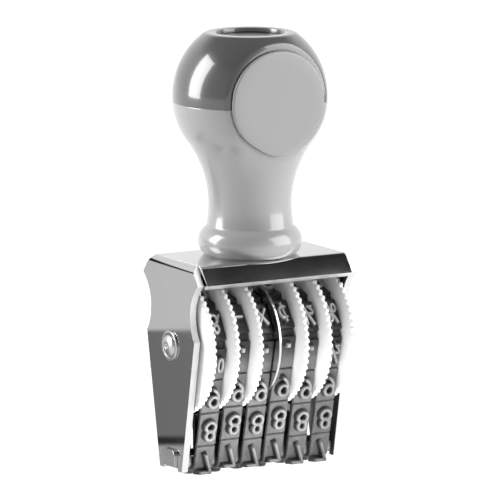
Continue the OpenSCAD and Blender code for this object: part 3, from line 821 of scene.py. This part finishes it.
def flat_outline(count):
    """The flat's outline, fitted to the medallion's half width and half height.

    At each height of the knob its half width is the half chord of the knob's circle at flat_y.
    Lower than knob_from there is no knob, only the neck and the foot.
    """
    z = np.linspace(48, total_h, 4000)
    width = half_chord(knob_at(z), flat_y)
    shown = (width > 0) & (z > knob_from)
    z, width = z[shown], width[shown]
    middle = (z[0] + z[-1]) / 2
    loop_x = np.concatenate([width, -width[::-1]])
    loop_z = np.concatenate([z, z[::-1]]) - middle
    shrink = medal_half / [width.max(), (z[-1] - z[0]) / 2]
    length = np.concatenate([[0], np.cumsum(np.hypot(np.diff(loop_x), np.diff(loop_z)))])
    at = np.linspace(0, length[-1], count, endpoint=False)
    return shrink * np.stack([np.interp(at, length, loop_x), np.interp(at, length, loop_z)], -1)


count = 240
outline = flat_outline(count)
face_y, back_y = medal_low[1] - axis_y, medal_high[1] - axis_y
rings = np.array([
    [0.97, back_y], [0.97, back_y - 0.28], [0.995, back_y - 0.34], [1.0, back_y - 0.42],
    [1.0, face_y + 0.34], [0.99, face_y + 0.14], [0.972, face_y + 0.03], [0.95, face_y],
    [0.75, face_y], [0.45, face_y], [0.15, face_y], [0.01, face_y],
])
grid = np.stack([
    rings[:, :1] * outline[:, 0], rings[:, 1:] + 0 * outline[:, 0], medal_mid + rings[:, :1] * outline[:, 1]
], -1)
faces = grid_faces(len(rings), count, False, True)
faces += [list(range(count)), list(range((len(rings) - 1) * count, len(rings) * count))]
medal_shell = (grid.reshape(-1, 3), faces)
medal = make_piece("bare_medallion", medal_shell, medal_plastic, "root")
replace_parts(medal, "medallion")

disc_low, disc_high = span("top_disc")
disc_r = (disc_high[0] - disc_low[0]) / 2
disc_profile = np.array([
    [0.05, disc_low[2]], [disc_r - 0.08, disc_low[2]], [disc_r, disc_low[2] + 0.08],
    [disc_r, disc_high[2] - 0.1], [disc_r - 0.05, disc_high[2] - 0.02], [disc_r - 0.15, disc_high[2]],
    [disc_r - 0.7, disc_high[2]], [disc_r - 0.8, disc_high[2] - 0.12], [0.05, disc_high[2] - 0.12],
])
disc_shell = turned_handle(disc_profile, 128, 0.5)
disc = make_piece("recessed_disc", disc_shell, disc_plastic, "root")
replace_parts(disc, "top_disc")

# %% [markdown]
# ## The bent sheet pieces
# The frame and the bridge are sheared from sheet and bent. Their plain solids have razor edges,
# which no sheet has, and chrome shows it at once: a real edge draws a thin bright line. So a
# copy of each solid is cleaned, its cut faces get a rougher plate, and a bevel rounds its edges.
# The frame's inner faces are dull and dark: that is painted shade between the plates and the wheels.

# %% Copy, clean and bevel the sheet
frame_t, lip_gap = 1.4, 0.25
lip_end_x = frame_w / 2 - frame_t - lip_gap
plate_foot_z = 10
lip_foot_z = frame_top - 5, frame_top - 2.4


def sheet_zone(normal, centre):
    """0 for a polished face, 1 for one that the shears left and 2 for one that looks inwards, which gets
    painted shade.
    """
    inward = -normal[0] * np.sign(centre[0])
    by_plate = abs(centre[0]) > lip_end_x - 1.2
    plate_edge = by_plate and abs(normal[0]) < 0.3 and (abs(normal[2]) < 0.9 or centre[2] < plate_foot_z)
    lip_foot = normal[2] < -0.5 and lip_foot_z[0] < centre[2] < lip_foot_z[1]
    lip_end = abs(normal[0]) > 0.9 and abs(abs(centre[0]) - lip_end_x) < 0.1
    if plate_edge or lip_foot or lip_end:
        return 1
    return 2 if by_plate and inward > 0.7 else 0


def sheet_copy(source, name, finishes, width):
    """A bevelled copy of a plain node, with one of the finishes for each zone of the sheet.

    Its flat faces are made whole first, so that only real edges are rounded.
    """
    shape = bmesh.new()
    shape.from_mesh(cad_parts[source].data)
    bmesh.ops.remove_doubles(shape, verts=shape.verts, dist=2e-6)
    bmesh.ops.dissolve_limit(shape, angle_limit=np.radians(0.4), verts=shape.verts, edges=shape.edges)
    for face in shape.faces:
        centre = np.array(face.calc_center_median()) / MM - [0, axis_y, 0]
        face.material_index = sheet_zone(face.normal, centre) if len(finishes) > 1 else 0
    mesh = bpy.data.meshes.new(name)
    shape.to_mesh(mesh)
    shape.free()
    mesh.shade_smooth()
    mesh.set_sharp_from_angle(angle=np.radians(30))
    for finish in finishes:
        mesh.materials.append(finish)
    piece = bpy.data.objects.new(name, mesh)
    bpy.context.scene.collection.objects.link(piece)
    bevel = piece.modifiers.new("rounded_edges", "BEVEL")
    bevel.width = width * MM
    bevel.segments = 2
    bevel.limit_method = "ANGLE"
    bevel.angle_limit = np.radians(40)
    bevel.harden_normals = True
    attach(piece, "root")
    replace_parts(piece, source)
    print(name, len(mesh.polygons), "faces")


sheet_copy("frame", "bent_frame", [chrome, sheared, painted_shade_inside], 0.13)
sheet_copy("bridge", "folded_bridge", [zinc], 0.16)
sheet_copy("center_divider", "divider_disc", [ring_chrome], 0.12)

# %% [markdown]
# ## The axle's ends
# The axle is a steel bar whose ends are turned to a low dome with a centre mark, each held by a
# spring ring. The dome gathers the whole studio into a light and a dark crescent, which is all
# that shows of it, so it is worth turning.

# %% Turn the axle and its rings
axle_reach, axle_r = axle_high[0], 2.3
end = np.array([
    [-0.6, 0.02], [-0.42, 0.3], [-0.12, 0.52], [-0.02, 0.62], [0, 0.75], [-0.03, 1.0], [-0.12, 1.4],
    [-0.26, 1.8], [-0.42, 2.08], [-0.62, 2.24], [-0.85, 2.3],
])
right_end = end + [axle_reach, 0]
left_end = (right_end * [-1, 1])[::-1]
ring_angles = np.linspace(0, 2 * np.pi, 96, endpoint=False)


def turned_steel(name, profile, source):
    """A closed profile turned about the axle, in zinc-plated steel, in place of a plain node."""
    grid = revolved(profile, ring_angles)
    shell = (grid.reshape(-1, 3), grid_faces(len(profile), len(ring_angles), True, True))
    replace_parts(make_piece(name, shell, zinc, "root", corner=50), source)


turned_steel("dished_axle", np.concatenate([right_end, left_end]), "axle")
for side_name in ("left", "right"):
    low, high = span(f"axle_ring_{side_name}")
    inner, outer = axle_r + 0.06, high[2] - axle_z
    section = np.array([[low[0], inner], [high[0], inner], [high[0], outer], [low[0], outer]])
    turned_steel(f"spring_ring_{side_name}", eased(section, 0.13), f"axle_ring_{side_name}")

# %% [markdown]
# ## Finishes for the pieces that stay
# The washers, the handle screw and the brass insert lie inside and already have their true
# shape, so they keep it and only get their finish.

# %% Dress the hidden parts
DRESS = {"side_washers": zinc, "handle_screw": zinc, "screw_washer": zinc, "handle_insert": brass}
for name, material in DRESS.items():
    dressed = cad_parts[name]
    dressed.data.materials.clear()
    dressed.data.materials.append(material)
    print(name, "gets", material.name)

# %% [markdown]
# ## The studio
# The stamp stands on a bright white table in front of a white wall. Two large softboxes stand
# left and right of the camera's line. The walls dim towards the camera, and the ceiling is dark:
# that is what makes the sloping lip of the frame look black. The eye and the metal see one bright
# table. The light it casts comes from two sheets just under it, a small bright one before the
# stamp and a wide dim one, so the wheels are lit from below while the middle of the neck stays
# dark.

# %% The table and the surroundings
def emission_material(name, strength):
    """A white glow: strength is a number, or a function that makes a socket in the tree."""
    material = bpy.data.materials.new(name)
    material.use_nodes = True
    tree = material.node_tree
    tree.nodes.clear()
    glow = node(tree, "ShaderNodeEmission", {"Color": grey(1)})
    out = node(tree, "ShaderNodeOutputMaterial")
    tree.links.new(glow.outputs[0], out.inputs["Surface"])
    if callable(strength):
        tree.links.new(strength(tree), glow.inputs["Strength"])
    else:
        glow.inputs["Strength"].default_value = strength
    return material


def flat_card(name, centre, across, up, material):
    """A rectangle of four points: its centre, plus and minus half its width and half its height."""
    centre, across, up = (np.array(v, float) for v in (centre, across, up))
    corners = [centre - across - up, centre + across - up, centre + across + up, centre - across + up]
    mesh = bpy.data.meshes.new(name)
    mesh.from_pydata(np.array(corners), [], [[0, 1, 2, 3]])
    mesh.materials.append(material)
    card = bpy.data.objects.new(name, mesh)
    bpy.context.scene.collection.objects.link(card)
    return card


floor_half, table_glow = 4.0, 1.15
table_material = emission_material("table", table_glow)
table = flat_card("table", (0, 0, 0), (floor_half, 0, 0), (0, floor_half, 0), table_material)
table.visible_diffuse = False
table.visible_shadow = False
sheets = [
    ("far_bounce", (0, 0, -0.0002), floor_half, floor_half, 0.2),
    ("near_bounce", (-0.013, -0.031, -0.0001), 0.027, 0.018, 6.5),
]
for name, centre, half_x, half_y, glow in sheets:
    sheet = flat_card(name, centre, (half_x, 0, 0), (0, half_y, 0), emission_material(name, glow))
    sheet.visible_camera = False
    sheet.visible_glossy = False

camera_way = np.array([-np.sin(turn_left), -np.cos(turn_left), 0])
left_way = np.array([-np.cos(turn_left), np.sin(turn_left), 0])

scene = bpy.context.scene
scene.view_settings.view_transform = "Standard"
world = bpy.data.worlds.new("studio")
scene.world = world
world.use_nodes = True
tree = world.node_tree
tree.nodes.clear()
way = node(tree, "ShaderNodeTexCoord").outputs["Generated"]
to_camera = node(tree, "ShaderNodeVectorMath", {0: way, 1: tuple(camera_way)}, operation="DOT_PRODUCT")
height = node(tree, "ShaderNodeSeparateXYZ", {0: way}).outputs["Z"]
wall = between(tree, to_camera.outputs["Value"], 1.0, 0.35, -0.5, 0.4)
ceiling = between(tree, height, 1.0, 0.04, 0.5, 0.72)
lit = node(tree, "ShaderNodeMath", {0: wall, 1: ceiling}, operation="MULTIPLY").outputs[0]
seen = node(tree, "ShaderNodeLightPath").outputs["Is Camera Ray"]
strength = node(tree, "ShaderNodeMath", {0: lit, 1: seen}, operation="MAXIMUM").outputs[0]
glow = node(tree, "ShaderNodeBackground", {"Color": grey(1), "Strength": strength})
out = node(tree, "ShaderNodeOutputWorld")
tree.links.new(glow.outputs[0], out.inputs["Surface"])
print("table and surroundings lit")


# %% The softboxes
def softbox(name, way, elevation, reach, width, height, power):
    """An area light at that direction and height angle, turned to the stamp."""
    light = bpy.data.lights.new(name, "AREA")
    light.shape = "RECTANGLE"
    light.size, light.size_y = width, height
    light.energy = power
    lamp = bpy.data.objects.new(name, light)
    scene.collection.objects.link(lamp)
    place = way * np.cos(np.radians(elevation)) + np.array([0, 0, np.sin(np.radians(elevation))])
    lamp.location = target + reach * place
    heading = np.arctan2(way[0], -way[1])
    lamp.rotation_euler = (np.pi / 2 - np.radians(elevation), 0, heading)
    lamp.visible_camera = False
    print(name, width, "by", height, "m,", power, "W")


softbox_reach = 0.6
softbox("left_softbox", left_way, 22, softbox_reach, 0.26, 0.5, 4.1)
right_way = np.array([0.751, -0.66, 0]) / np.hypot(0.751, 0.66)
softbox("right_softbox", right_way, 20, softbox_reach, 0.5, 0.6, 4.3)

# %% [markdown]
# ## The cards beside the plate
# A flat mirror shows exactly what stands in one direction. The left plate's steps of grey are
# therefore set by a small card that only mirrors see: it stands 20 mm off the plate, square to
# the reflected view, and its glow changes with height. A second one lies on the table between.

# %% Stand the cards
card_reach, card_half_w, card_half_h, card_lift = 20, 8, 25.5, 0.1
step_blur = 0.4
card_steps = [(0, 0.5), (2.4, -0.47), (4.2, 0.19), (26.2, 0.525), (45.2, -0.72), (49.6, 0.9)]


def plate_card_glow(tree):
    """The sum of soft steps: each (height in mm, change) is added once that height is passed."""
    place = node(tree, "ShaderNodeTexCoord").outputs["Object"]
    height = node(tree, "ShaderNodeSeparateXYZ", {0: place}).outputs["Z"]
    total = 0.0
    for level, change in card_steps:
        step = between(tree, height, 0, change, (level - step_blur) * MM, (level + step_blur) * MM)
        total = node(tree, "ShaderNodeMath", {0: step, 1: total}, operation="ADD").outputs[0]
    return total


away = np.array([-np.sin(turn_left), np.cos(turn_left), 0])
across = card_half_w * np.array([away[1], -away[0], 0])
plate = np.array([-frame_w / 2, axis_y, 0])
half_way = 0.5 * card_reach * away
cards = [
    ("plate_card", plate + card_reach * away + (0, 0, card_half_h + card_lift), across,
     (0, 0, card_half_h), plate_card_glow),
    ("foot_card", plate + half_way + (-1.2, 0, 0.05), across, half_way, 0.5),
]
for name, centre, half_width, half_height, glow in cards:
    sizes = [np.array(v) * MM for v in (centre, half_width, half_height)]
    card = flat_card(name, *sizes, emission_material(name, glow))
    card.visible_camera = False
    card.visible_diffuse = False
    card.visible_shadow = False
    print(name, "set up")
